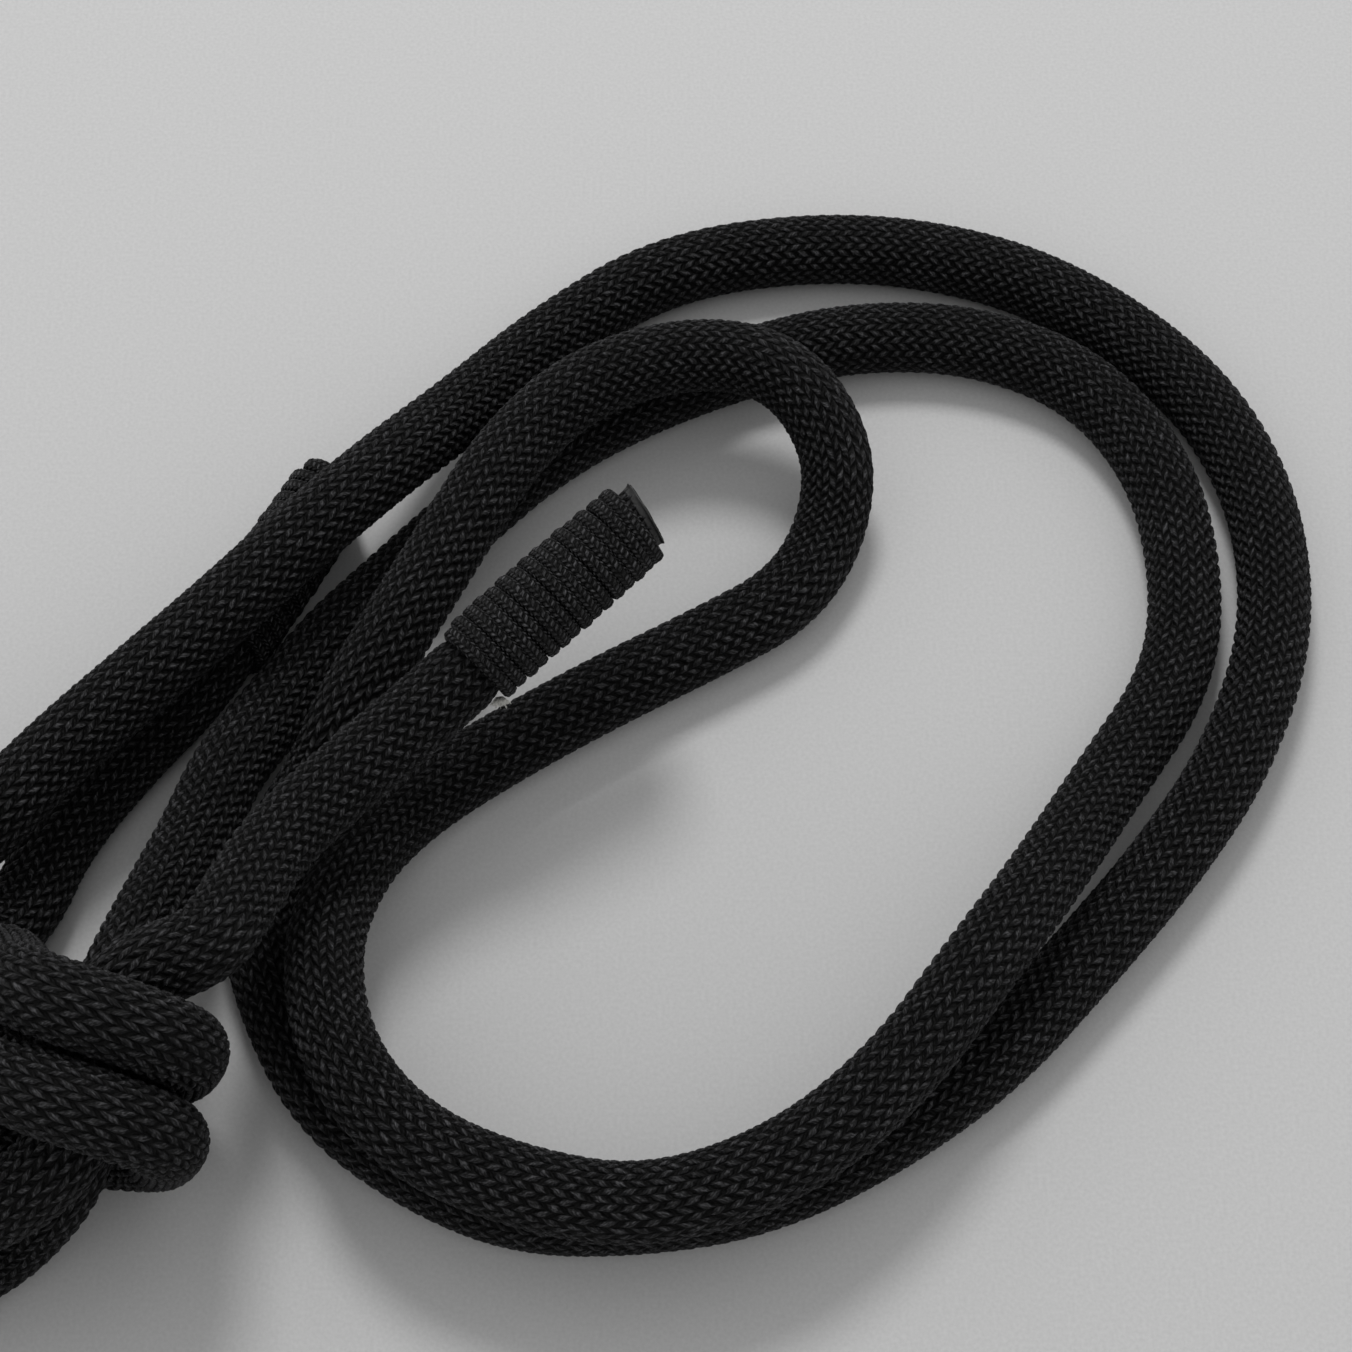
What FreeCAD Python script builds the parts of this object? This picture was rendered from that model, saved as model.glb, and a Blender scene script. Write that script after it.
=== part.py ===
# A dynamic climbing rope of kernmantle make, laid double in a flat loop and knotted at its left end.
# Millimetres. X runs to the right, Y away from the viewer, Z up, and the floor is z = 0.
import FreeCAD
import Part
import math
import os

Vector = FreeCAD.Vector

# Driving sizes of the rope.
rope_diameter = 10.0
sheath_wall = 0.9
strand_diameter = 2.4
strand_ring_radius = 2.7
ring_strands = 6
ground_flat_height = 0.0

# Driving sizes of the whipped and sealed ends.
whipped_length = 30.0
whipped_diameter = 8.8
seal_length = 1.4
seal_edge_radius = 0.4
thread_diameter = 1.4
thread_pitch = 1.85
thread_clearance = 0.05
thread_first_turn = 2.2

# The knot's two wraps: centre line of an oval coil that leans with the knot.
wrap_origin = Vector(-67.84, -57.74, 25.23)
wrap_down = Vector(-0.199, -0.915, -0.351)
wrap_side = Vector(0.963, -0.116, -0.243)
wrap_front = Vector(0.182, -0.387, 0.904)
wrap_pitch = 10.55
wrap_half_width = 10.45
wrap_half_height = 16.02
wrap_belly = 0.3
wrap_first_corner = -2
wrap_corners = 19
corners_per_turn = 10

# How far the part's own origin lies from the point that the route is measured from.
centre = Vector(-23.82, -11.12, 0.0)

# A bend takes this share of the shorter run beside it, on each side of its corner.
bend_share = 0.45

# The stretches of the route in the order the rope runs, each a hand-chosen list of corners.
# The knot's wraps come between third_strand and knot_link, from the coil above.
stretches = [
    ("tail_one", [
        (-4.8, 7.8, 31.0), (-18.6, -3.8, 26.8), (-32.2, -15.6, 22.2), (-41.3, -24.4, 21.8),
        (-48.9, -33.7, 23.3), (-53.0, -44.0, 26.4),
    ]),
    ("knot_core_upper", [
        (-55.1, -50.8, 29.1), (-63.8, -55.5, 31.4), (-68.3, -62.4, 29.0), (-68.8, -70.3, 26.1),
        (-71.5, -76.1, 24.6),
    ]),
    ("third_strand", [
        (-75.9, -78.9, 21.9), (-80.7, -80.2, 18.7), (-86.1, -81.7, 16.8), (-91.7, -84.0, 15.9),
        (-99.8, -84.0, 11.7), (-107.0, -79.6, 7.1), (-109.6, -73.2, 4.9), (-106.8, -66.8, 4.7),
        (-100.5, -64.3, 4.6), (-94.9, -65.7, 4.6), (-89.0, -68.2, 7.3),
    ]),
    ("knot_wraps", []),
    ("knot_link", [
        (-81.6, -49.0, 21.7), (-88.5, -51.8, 16.0), (-96.2, -53.1, 5.6), (-103.1, -54.7, 4.6),
        (-109.1, -54.4, 4.6), (-115.0, -50.0, 4.6), (-116.2, -42.9, 4.6), (-111.8, -37.5, 4.6),
        (-105.5, -36.8, 4.7),
    ]),
    ("outer_strand_left", [
        (-99.8, -33.4, 4.7), (-91.9, -31.2, 11.7), (-86.1, -26.7, 15.8), (-78.1, -16.9, 16.3),
        (-68.6, -7.1, 16.8), (-58.9, 3.2, 16.9), (-48.4, 15.5, 16.9), (-38.9, 26.4, 15.7),
        (-30.0, 39.9, 8.8), (-17.9, 55.5, 4.6), (-1.3, 68.0, 4.7), (22.2, 72.0, 4.6),
    ]),
    ("outer_strand_right", [
        (42.7, 69.0, 4.6), (58.7, 60.9, 4.6), (73.5, 46.3, 4.6), (80.9, 28.0, 4.6), (80.9, 7.2, 4.6),
        (73.5, -12.4, 4.6), (63.3, -27.4, 4.6), (52.2, -40.6, 4.6), (39.3, -55.1, 4.6),
        (24.8, -65.6, 4.6),
    ]),
    ("lower_strand", [
        (10.4, -72.8, 4.6), (-4.3, -75.3, 4.6), (-19.1, -75.2, 4.6), (-32.1, -69.3, 4.6),
        (-43.2, -60.7, 4.6), (-49.9, -48.2, 4.6), (-53.3, -36.4, 4.6), (-51.0, -24.1, 4.6),
        (-45.7, -15.4, 6.5), (-42.5, -10.0, 12.2),
    ]),
    ("small_loop", [
        (-36.6, 0.8, 15.3), (-29.6, 14.7, 15.6), (-22.5, 29.5, 15.1), (-12.2, 40.8, 15.2),
        (2.6, 45.8, 15.1), (15.1, 42.5, 15.8), (22.3, 32.7, 11.2), (21.6, 23.2, 5.4),
        (15.8, 12.5, 4.6), (4.3, 5.4, 4.6), (-10.5, -2.9, 4.6), (-24.6, -11.9, 4.6),
        (-34.9, -20.0, 5.1), (-41.5, -31.1, 9.6),
    ]),
    ("bottom_strand", [
        (-44.2, -44.4, 13.2), (-41.1, -59.0, 15.2), (-32.1, -69.9, 15.5), (-18.6, -75.9, 15.2),
        (-3.0, -78.6, 15.2), (13.7, -72.5, 15.2), (27.0, -61.1, 15.2), (37.3, -46.7, 15.4),
    ]),
    ("inner_strand_right", [
        (46.3, -33.5, 12.2), (55.9, -17.0, 5.9), (66.6, -0.7, 4.6), (69.3, 15.2, 4.6),
        (67.0, 33.4, 4.6), (57.4, 48.2, 4.6), (41.8, 55.4, 4.6), (24.6, 55.7, 4.6),
    ]),
    ("inner_strand_left", [
        (9.6, 51.2, 4.6), (-5.2, 44.6, 4.6), (-18.4, 35.9, 4.6), (-29.5, 24.1, 4.6),
        (-39.3, 13.3, 4.6), (-46.3, 5.5, 4.6), (-52.4, -4.7, 5.2), (-57.8, -15.5, 9.0),
        (-60.9, -27.1, 11.3), (-63.7, -37.5, 15.4),
    ]),
    ("knot_core_lower", [
        (-66.7, -51.3, 21.9), (-69.4, -58.4, 19.4), (-71.1, -65.8, 16.6), (-72.1, -73.8, 14.0),
    ]),
    ("second_link", [
        (-79.8, -78.7, 4.8), (-87.0, -83.2, 4.6), (-94.9, -90.5, 4.6), (-104.2, -94.5, 4.6),
        (-114.5, -89.5, 4.6), (-123.1, -76.6, 4.6), (-127.2, -63.6, 4.6), (-128.7, -50.9, 4.6),
        (-128.2, -39.1, 4.6), (-124.2, -29.7, 4.8), (-116.8, -27.4, 9.5), (-108.8, -30.3, 14.9),
        (-102.6, -36.5, 16.5), (-96.8, -41.2, 16.0), (-91.6, -42.1, 12.1), (-87.5, -40.6, 6.9),
    ]),
    ("tail_two", [
        (-83.1, -34.7, 4.6), (-79.9, -24.1, 4.6), (-71.4, -11.2, 4.6), (-63.7, -2.75, 5.9),
        (-55.0, 13.8, 5.9), (-46.7, 30.1, 5.9),
    ]),
]

# Sizes that follow from the driving ones.
rope_radius = rope_diameter / 2
bore_radius = rope_radius - sheath_wall
strand_radius = strand_diameter / 2
whipped_radius = whipped_diameter / 2
thread_radius = thread_diameter / 2
thread_path_radius = whipped_radius + thread_clearance + thread_radius
thread_turns = int((whipped_length - thread_first_turn) / thread_pitch)


def wrap_points():
    """The corners of the oval coil, from the knot's lower end up to its upper end."""
    cut = wrap_half_width * math.tan(math.pi / 8)
    straight = wrap_half_height - wrap_half_width
    belly = wrap_half_width + wrap_belly
    ring = [
        (-cut, wrap_half_height), (cut, wrap_half_height), (wrap_half_width, straight + cut),
        (belly, 0.0), (wrap_half_width, -straight - cut), (cut, -wrap_half_height),
        (-cut, -wrap_half_height), (-wrap_half_width, -straight - cut), (-belly, 0.0),
        (-wrap_half_width, straight + cut),
    ]
    along = [0.0]
    for index in range(corners_per_turn):
        here = ring[index]
        there = ring[(index + 1) % corners_per_turn]
        along.append(along[-1] + math.dist(here, there))
    points = []
    for number in range(wrap_first_corner, wrap_first_corner + wrap_corners):
        turn, index = divmod(number, corners_per_turn)
        step = wrap_pitch * (turn + along[index] / along[-1])
        side, front = ring[index]
        points.append(wrap_origin + wrap_down * step + wrap_side * side + wrap_front * front)
    points.reverse()
    return points


def rotate(vector, axis, angle):
    """Turn a vector about a unit axis through the origin."""
    turned = FreeCAD.Rotation(axis, math.degrees(angle)).multVec(vector)
    return turned


class Bend:
    """The tangent arc at one corner of the route."""

    def __init__(self, before, corner, after):
        into = corner - before
        out = after - corner
        self.runs = (into.Length, out.Length)
        into.normalize()
        out.normalize()
        self.turn = into.getAngle(out)
        reach = bend_share * min(self.runs)
        self.radius = reach / math.tan(self.turn / 2)
        self.axis = into.cross(out).normalize()
        self.start = corner - into * reach
        self.hub = self.start + self.axis.cross(into) * self.radius

    def swing(self, point, share):
        """Carry a point round the bend by a share of its turn."""
        return self.hub + rotate(point - self.hub, self.axis, self.turn * share)


def bends_of(points):
    """One bend for each corner between the route's two ends."""
    return [Bend(*points[i - 1:i + 2]) for i in range(1, len(points) - 1)]


def path_wire(start, end, bends, offset=None):
    """Straight runs and tangent arcs from start to end, beside the centre line by an offset."""
    side = offset if offset else Vector(0, 0, 0)
    here = start + side
    edges = []
    for bend in bends:
        first = bend.start + side
        middle = bend.swing(first, 0.5)
        last = bend.swing(first, 1.0)
        edges.append(Part.LineSegment(here, first).toShape())
        edges.append(Part.Arc(first, middle, last).toShape())
        side = rotate(side, bend.axis, bend.turn)
        here = last
    edges.append(Part.LineSegment(here, end + side).toShape())
    return Part.Wire(edges)


def annulus(place, direction, outer, inner):
    """A ring-shaped face square to a direction."""
    return disc(place, direction, outer).cut(disc(place, direction, inner)).Faces[0]


def disc(place, direction, radius):
    """A round face square to a direction."""
    return Part.Face(Part.Wire([Part.Circle(place, direction, radius).toShape()]))


def single_solid(shape):
    """The one solid that a sweep or a cut leaves."""
    solids = shape.Solids
    if len(solids) != 1:
        raise ValueError("expected one solid, found %d" % len(solids))
    return solids[0]


def grounded(shape):
    """Cut the shape flat where it presses on the floor."""
    box = shape.BoundBox
    if box.ZMin >= ground_flat_height:
        return shape
    depth = ground_flat_height - box.ZMin + rope_radius
    corner = Vector(box.XMin - rope_radius, box.YMin - rope_radius, ground_flat_height - depth)
    floor = Part.makeBox(box.XLength + rope_diameter, box.YLength + rope_diameter, depth, corner)
    cut = shape.cut(floor)
    standing = [solid for solid in cut.Solids if solid.CenterOfMass.z > ground_flat_height]
    return single_solid(Part.makeCompound(standing))


def sheath_tube(start, end, bends, outer, inner):
    """A hollow length of sheath along part of the route."""
    wire = path_wire(start, end, bends)
    direction = (bends[0].start if bends else end) - start
    tube = single_solid(wire.makePipe(annulus(start, direction, outer, inner)))
    expected = math.pi * (outer ** 2 - inner ** 2) * wire.Length
    return grounded(tube), tube.Volume / expected, wire.Length


def core_strand(start, end, bends, offset):
    """One solid core strand, beside the centre line all the way."""
    wire = path_wire(start, end, bends, offset)
    direction = bends[0].start - start
    strand = single_solid(wire.makePipe(disc(start + offset, direction, strand_radius)))
    expected = math.pi * strand_radius ** 2 * wire.Length
    return strand, strand.Volume / expected, wire.Length


def sealed_end(tip, inward):
    """The melted disc that closes the rope's end, with a rounded rim."""
    plug = Part.makeCylinder(whipped_radius, seal_length, tip, inward)
    rim = [edge for edge in plug.Edges if abs(edge.CenterOfMass.distanceToPoint(tip)) < seal_edge_radius]
    return single_solid(plug.makeFillet(seal_edge_radius, rim))


def biarc_edges(first, first_way, last, last_way):
    """Two arcs that join two points and keep both directions."""
    chord = last - first
    ways = first_way + last_way
    bend = 2 * (1 - first_way.dot(last_way))
    reach = (-chord.dot(ways) + math.sqrt(chord.dot(ways) ** 2 + bend * chord.dot(chord))) / bend
    corner_one = first + first_way * reach
    corner_two = last - last_way * reach
    joint = (corner_one + corner_two) * 0.5
    edges = []
    for start, corner, end in ((first, corner_one, joint), (joint, corner_two, last)):
        half_chord = (end - start) * 0.5
        foot = start + half_chord
        height = (corner - foot).Length
        slant = (corner - start).Length
        sagitta = half_chord.Length * height / (slant + half_chord.Length)
        middle = foot + (corner - foot).normalize() * sagitta
        edges.append(Part.Arc(start, middle, end).toShape())
    return edges


def thread_winding(tip, inward):
    """The whipping thread: one tube wound round the rope's end, its two ends straight."""
    side = inward.cross(Vector(0, 0, 1)).normalize()
    up = side.cross(inward)

    def point(turn):
        angle = 2 * math.pi * turn
        round_part = side * math.cos(angle) + up * math.sin(angle)
        return tip + inward * (thread_first_turn + thread_pitch * turn) + round_part * thread_path_radius

    def way(turn):
        angle = 2 * math.pi * turn
        round_part = up * math.cos(angle) - side * math.sin(angle)
        climb = thread_pitch / (2 * math.pi * thread_path_radius)
        return (round_part + inward * climb).normalize()

    quarters = [i / 4 for i in range(4 * thread_turns + 1)]
    start = point(0) - way(0) * thread_diameter
    end = point(thread_turns) + way(thread_turns) * thread_diameter
    edges = [Part.LineSegment(start, point(0)).toShape()]
    for here, there in zip(quarters, quarters[1:]):
        edges += biarc_edges(point(here), way(here), point(there), way(there))
    edges.append(Part.LineSegment(point(thread_turns), end).toShape())
    wire = Part.Wire(edges)
    rim = Part.Wire([Part.Circle(start, way(0), thread_radius).toShape()])
    winding = single_solid(wire.makePipeShell([rim], True, False))
    return winding, winding.Volume / (math.pi * thread_radius ** 2 * wire.Length), wire


def least_gap(samples, skip, width):
    """The least clear distance between far-apart samples of one tube's centre line."""
    least = None
    for i, here in enumerate(samples):
        for there in samples[i + skip:]:
            apart = here.distanceToPoint(there)
            if least is None or apart < least:
                least = apart
    return least - width


def save(name, shape):
    """Move a shape to the part's own origin, test it and write its file; returns its true box."""
    shape.translate(-centre)
    if not shape.isValid():
        raise ValueError("%s is not a valid solid" % name)
    shape.exportStep("parts/%s.step" % name)
    return shape.optimalBoundingBox(False, False)


def main():
    os.makedirs("parts", exist_ok=True)
    box = FreeCAD.BoundBox()

    # The whole centre line, and where each stretch starts and ends on it.
    lists = []
    for name, corners in stretches:
        if corners:
            lists.append((name, [Vector(*corner) for corner in corners]))
        else:
            wraps = wrap_points()
            lists.append(("knot_wrap_lower", wraps[:corners_per_turn]))
            lists.append(("knot_wrap_upper", wraps[corners_per_turn:]))
    route = [point for name, points in lists for point in points]
    bends = bends_of(route)
    for number, bend in enumerate(bends, 1):
        print("corner %d radius %.1f turn %.0f" % (number, bend.radius, math.degrees(bend.turn)))
    print("least bend radius %.1f" % min(bend.radius for bend in bends))
    ratios = [max(bend.runs) / min(bend.runs) for bend in bends]
    print("largest ratio of neighbour runs %.2f" % max(ratios))

    tips = []
    for tip, neighbour in ((route[0], route[1]), (route[-1], route[-2])):
        tips.append((tip, (neighbour - tip).normalize()))
    core_start = tips[0][0] + tips[0][1] * seal_length
    core_end = tips[1][0] + tips[1][1] * seal_length
    whole = path_wire(route[0], route[-1], bends)
    print("rope length %.1f" % whole.Length)
    spacing = 2.0
    samples = whole.discretize(Distance=spacing)
    apart = int(2.4 * rope_diameter / spacing)
    print("least gap of the rope to itself %.2f" % least_gap(samples, apart, rope_diameter))

    # The whipped stretch at each end stops on the second straight run from the tip.
    second_run_start = bends[0].swing(bends[0].start, 1.0)
    first_part = (bends[0].start - route[0]).Length + bends[0].radius * bends[0].turn
    way = (route[2] - route[1]).normalize()
    whip_one_end = second_run_start + way * (whipped_length - first_part)
    last_bend = bends[-1]
    last_part = (route[-1] - last_bend.swing(last_bend.start, 1.0)).Length
    last_part += last_bend.radius * last_bend.turn
    way = (route[-3] - route[-2]).normalize()
    whip_two_end = last_bend.start + way * (whipped_length - last_part)

    # Sheath: each stretch meets the next one face to face, halfway along a straight run.
    first_corner = 0
    for name, points in lists:
        last_corner = first_corner + len(points) - 1
        own = bends[max(first_corner - 1, 0):min(last_corner, len(bends))]
        if first_corner == 0:
            start = whip_one_end
            own = own[1:]
        else:
            start = (route[first_corner - 1] + route[first_corner]) * 0.5
        if last_corner == len(route) - 1:
            end = whip_two_end
            own = own[:-1]
        else:
            end = (route[last_corner] + route[last_corner + 1]) * 0.5
        tube, share, length = sheath_tube(start, end, own, rope_radius, bore_radius)
        box.add(save("sheath_" + name, tube))
        print("sheath_%s length %.1f volume share %.4f" % (name, length, share))
        first_corner = last_corner + 1

    ends = (("sheath_tip_one", core_start, whip_one_end, bends[:1]),
            ("sheath_tip_two", whip_two_end, core_end, bends[-1:]))
    for name, start, end, own in ends:
        tube, share, length = sheath_tube(start, end, own, whipped_radius, bore_radius)
        box.add(save(name, tube))
        print("%s length %.1f volume share %.4f" % (name, length, share))

    # Core: one strand in the middle and a ring of strands round it.
    first_way = tips[0][1]
    side = first_way.cross(Vector(0, 0, 1)).normalize()
    offsets = [Vector(0, 0, 0)]
    for number in range(ring_strands):
        offsets.append(rotate(side * strand_ring_radius, first_way, 2 * math.pi * number / ring_strands))
    for number, offset in enumerate(offsets):
        strand, share, length = core_strand(core_start, core_end, bends, offset)
        name = "core_strand_%d" % number if number else "core_strand_middle"
        box.add(save(name, strand))
        print("%s length %.1f volume share %.4f" % (name, length, share))

    for word, (tip, inward) in zip(("one", "two"), tips):
        box.add(save("sealed_end_" + word, sealed_end(tip, inward)))
        winding, share, wire = thread_winding(tip, inward)
        box.add(save("whipping_" + word, winding))
        turn_samples = 48
        points = wire.discretize(Number=turn_samples * (thread_turns + 1))
        gap = least_gap(points, turn_samples * 3 // 4, thread_diameter)
        print("whipping_%s volume share %.4f least gap %.2f" % (word, share, gap))

    print("box", box)
    print("box centre", box.Center)


main()
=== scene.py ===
"""A dynamic climbing rope of kernmantle make, laid double in a flat loop and knotted at its left end."""
import functools
import math

import bmesh
import bpy
import numpy as np
from mathutils import Matrix, Vector, noise


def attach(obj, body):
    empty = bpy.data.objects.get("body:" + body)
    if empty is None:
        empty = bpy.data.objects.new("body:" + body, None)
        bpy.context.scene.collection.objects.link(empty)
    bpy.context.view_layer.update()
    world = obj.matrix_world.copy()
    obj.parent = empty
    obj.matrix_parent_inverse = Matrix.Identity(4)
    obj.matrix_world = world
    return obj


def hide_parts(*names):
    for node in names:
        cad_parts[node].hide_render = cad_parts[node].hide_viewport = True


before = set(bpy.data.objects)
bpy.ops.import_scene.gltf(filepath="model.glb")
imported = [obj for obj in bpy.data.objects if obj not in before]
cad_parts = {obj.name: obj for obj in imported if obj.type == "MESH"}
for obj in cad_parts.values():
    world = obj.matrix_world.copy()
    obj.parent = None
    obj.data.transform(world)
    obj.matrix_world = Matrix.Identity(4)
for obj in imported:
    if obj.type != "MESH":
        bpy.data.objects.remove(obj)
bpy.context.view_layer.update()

bl_info = {
    "name": "Dynamic climbing rope",
    "version": (1, 0, 0),
    "blender": (4, 5, 0),
    "location": "3D View > Sidebar > Rope",
    "description": "Braided sheath, whipped tails and sealed ends over the rope's solid model",
    "category": "Object",
}

MM = 0.001
BODY = "root"

# The route's own points are measured from here, in metres.
CENTRE = np.array([-0.02382, -0.01112, 0.0])

# The corners of the rope's line in the order the rope runs, stretch by stretch.
# The knot's two wraps come between third_strand and knot_link, from the coil below.
ROUTE = (
    ("tail_one", (
        (-0.0037, 0.0087, 0.0314), (-0.0186, -0.0038, 0.0268), (-0.0322, -0.0156, 0.0222),
        (-0.0413, -0.0244, 0.0218), (-0.0489, -0.0337, 0.0233), (-0.053, -0.044, 0.0264),
    )),
    ("knot_core_upper", (
        (-0.0551, -0.0508, 0.0291), (-0.0638, -0.0555, 0.0314), (-0.0683, -0.0624, 0.029),
        (-0.0688, -0.0703, 0.0261), (-0.0715, -0.0761, 0.0246),
    )),
    ("third_strand", (
        (-0.0759, -0.0789, 0.0219), (-0.0807, -0.0802, 0.0187), (-0.0861, -0.0817, 0.0168),
        (-0.0917, -0.084, 0.0159), (-0.0998, -0.084, 0.0117), (-0.107, -0.0796, 0.0071),
        (-0.1096, -0.0732, 0.0049), (-0.1068, -0.0668, 0.0047), (-0.1005, -0.0643, 0.0046),
        (-0.0949, -0.0657, 0.0046), (-0.089, -0.0682, 0.0073),
    )),
    ("knot_wraps", ()),
    ("knot_link", (
        (-0.0816, -0.049, 0.0217), (-0.0885, -0.0518, 0.016), (-0.0962, -0.0531, 0.0056),
        (-0.1031, -0.0547, 0.0046), (-0.1091, -0.0544, 0.0046), (-0.115, -0.05, 0.0046),
        (-0.1162, -0.0429, 0.0046), (-0.1118, -0.0375, 0.0046), (-0.1055, -0.0368, 0.0047),
    )),
    ("outer_strand_left", (
        (-0.0998, -0.0334, 0.0047), (-0.0919, -0.0312, 0.0117), (-0.0861, -0.0267, 0.0158),
        (-0.0781, -0.0169, 0.0163), (-0.0686, -0.0071, 0.0168), (-0.0589, 0.0032, 0.0169),
        (-0.0484, 0.0155, 0.0169), (-0.0389, 0.0264, 0.0157), (-0.03, 0.0399, 0.0088),
        (-0.0179, 0.0555, 0.0046), (-0.0013, 0.068, 0.0047), (0.0222, 0.072, 0.0046),
    )),
    ("outer_strand_right", (
        (0.0427, 0.069, 0.0046), (0.0587, 0.0609, 0.0046), (0.0735, 0.0463, 0.0046),
        (0.0809, 0.028, 0.0046), (0.0809, 0.0072, 0.0046), (0.0735, -0.0124, 0.0046),
        (0.0633, -0.0274, 0.0046), (0.0522, -0.0406, 0.0046), (0.0393, -0.0551, 0.0046),
        (0.0248, -0.0656, 0.0046),
    )),
    ("lower_strand", (
        (0.0104, -0.0728, 0.0046), (-0.0043, -0.0753, 0.0046), (-0.0191, -0.0752, 0.0046),
        (-0.0321, -0.0693, 0.0046), (-0.0432, -0.0607, 0.0046), (-0.0499, -0.0482, 0.0046),
        (-0.0533, -0.0364, 0.0046), (-0.051, -0.0241, 0.0046), (-0.0457, -0.0154, 0.0065),
        (-0.0425, -0.01, 0.0122),
    )),
    ("small_loop", (
        (-0.0366, 0.0008, 0.0153), (-0.0296, 0.0147, 0.0156), (-0.0225, 0.0295, 0.0151),
        (-0.0122, 0.0408, 0.0152), (0.0026, 0.0458, 0.0151), (0.0151, 0.0425, 0.0158),
        (0.0223, 0.0327, 0.0112), (0.0216, 0.0232, 0.0054), (0.0158, 0.0125, 0.0046),
        (0.0043, 0.0054, 0.0046), (-0.0105, -0.0029, 0.0046), (-0.0246, -0.0119, 0.0046),
        (-0.0349, -0.02, 0.0051), (-0.0415, -0.0311, 0.0096),
    )),
    ("bottom_strand", (
        (-0.0442, -0.0444, 0.0132), (-0.0411, -0.059, 0.0152), (-0.0321, -0.0699, 0.0155),
        (-0.0186, -0.0759, 0.0152), (-0.003, -0.0786, 0.0152), (0.0137, -0.0725, 0.0152),
        (0.027, -0.0611, 0.0152), (0.0373, -0.0467, 0.0154),
    )),
    ("inner_strand_right", (
        (0.0463, -0.0335, 0.0122), (0.0559, -0.017, 0.0059), (0.0666, -0.0007, 0.0046),
        (0.0693, 0.0152, 0.0046), (0.067, 0.0334, 0.0046), (0.0574, 0.0482, 0.0046),
        (0.0418, 0.0554, 0.0046), (0.0246, 0.0557, 0.0046),
    )),
    ("inner_strand_left", (
        (0.0096, 0.0512, 0.0046), (-0.0052, 0.0446, 0.0046), (-0.0184, 0.0359, 0.0046),
        (-0.0295, 0.0241, 0.0046), (-0.0393, 0.0133, 0.0046), (-0.0463, 0.0055, 0.0046),
        (-0.0524, -0.0047, 0.0052), (-0.0578, -0.0155, 0.009), (-0.0609, -0.0271, 0.0113),
        (-0.0637, -0.0375, 0.0154),
    )),
    ("knot_core_lower", (
        (-0.0667, -0.0513, 0.0219), (-0.0694, -0.0584, 0.0194), (-0.0711, -0.0658, 0.0166),
        (-0.0721, -0.0738, 0.014),
    )),
    ("second_link", (
        (-0.0798, -0.0787, 0.0048), (-0.087, -0.0832, 0.0046), (-0.0949, -0.0905, 0.0046),
        (-0.1042, -0.0945, 0.0046), (-0.1145, -0.0895, 0.0046), (-0.1231, -0.0766, 0.0046),
        (-0.1272, -0.0636, 0.0046), (-0.1287, -0.0509, 0.0046), (-0.1282, -0.0391, 0.0046),
        (-0.1242, -0.0297, 0.0048), (-0.1168, -0.0274, 0.0095), (-0.1088, -0.0303, 0.0149),
        (-0.1026, -0.0365, 0.0165), (-0.0968, -0.0412, 0.016), (-0.0916, -0.0421, 0.0121),
        (-0.0875, -0.0406, 0.0069),
    )),
    ("tail_two", (
        (-0.0831, -0.0347, 0.0046), (-0.0799, -0.0241, 0.0046), (-0.0714, -0.0112, 0.0046),
        (-0.0637, -0.00275, 0.0059), (-0.055, 0.0138, 0.0059), (-0.0467, 0.0301, 0.0059),
    )),
)

# The knot's wraps: an oval coil that leans with the knot.
WRAP_ORIGIN = np.array([-0.06784, -0.05774, 0.02523])
WRAP_DOWN = np.array([-0.199, -0.915, -0.351])
WRAP_SIDE = np.array([0.963, -0.116, -0.243])
WRAP_FRONT = np.array([0.182, -0.387, 0.904])
WRAP_PITCH = 0.01055
WRAP_HALF_WIDTH = 0.01045
WRAP_HALF_HEIGHT = 0.01602
WRAP_BELLY = 0.0003
WRAP_FIRST_CORNER = -2
WRAP_CORNERS = 19
CORNERS_PER_TURN = 10

# Each dressed length of sheath: its name, its stretches of the route and the solids it stands for.
LENGTHS = (
    ("tail_one", ("tail_one",), ("sheath_tip_one", "sheath_tail_one")),
    ("third_strand", ("knot_core_upper", "third_strand"), ("sheath_knot_core_upper", "sheath_third_strand")),
    ("knot_wrap_lower", ("knot_wrap_lower",), ("sheath_knot_wrap_lower",)),
    ("knot_wrap_upper", ("knot_wrap_upper",), ("sheath_knot_wrap_upper",)),
    ("knot_link", ("knot_link",), ("sheath_knot_link",)),
    ("outer_strand_left", ("outer_strand_left",), ("sheath_outer_strand_left",)),
    ("outer_strand_right", ("outer_strand_right",), ("sheath_outer_strand_right",)),
    ("lower_strand", ("lower_strand",), ("sheath_lower_strand",)),
    ("small_loop", ("small_loop",), ("sheath_small_loop",)),
    ("bottom_strand", ("bottom_strand",), ("sheath_bottom_strand",)),
    ("inner_strand_right", ("inner_strand_right",), ("sheath_inner_strand_right",)),
    ("inner_strand_left", ("inner_strand_left",), ("sheath_inner_strand_left",)),
    ("second_link", ("knot_core_lower", "second_link"), ("sheath_knot_core_lower", "sheath_second_link")),
    ("tail_two", ("tail_two",), ("sheath_tail_two", "sheath_tip_two")),
)


def linear(code):
    """An sRGB hex colour as linear red, green, blue and alpha."""
    parts = [int(code[i:i + 2], 16) / 255 for i in (1, 3, 5)]
    light = [c / 12.92 if c <= 0.04045 else ((c + 0.055) / 1.055) ** 2.4 for c in parts]
    return (*light, 1.0)


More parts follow.
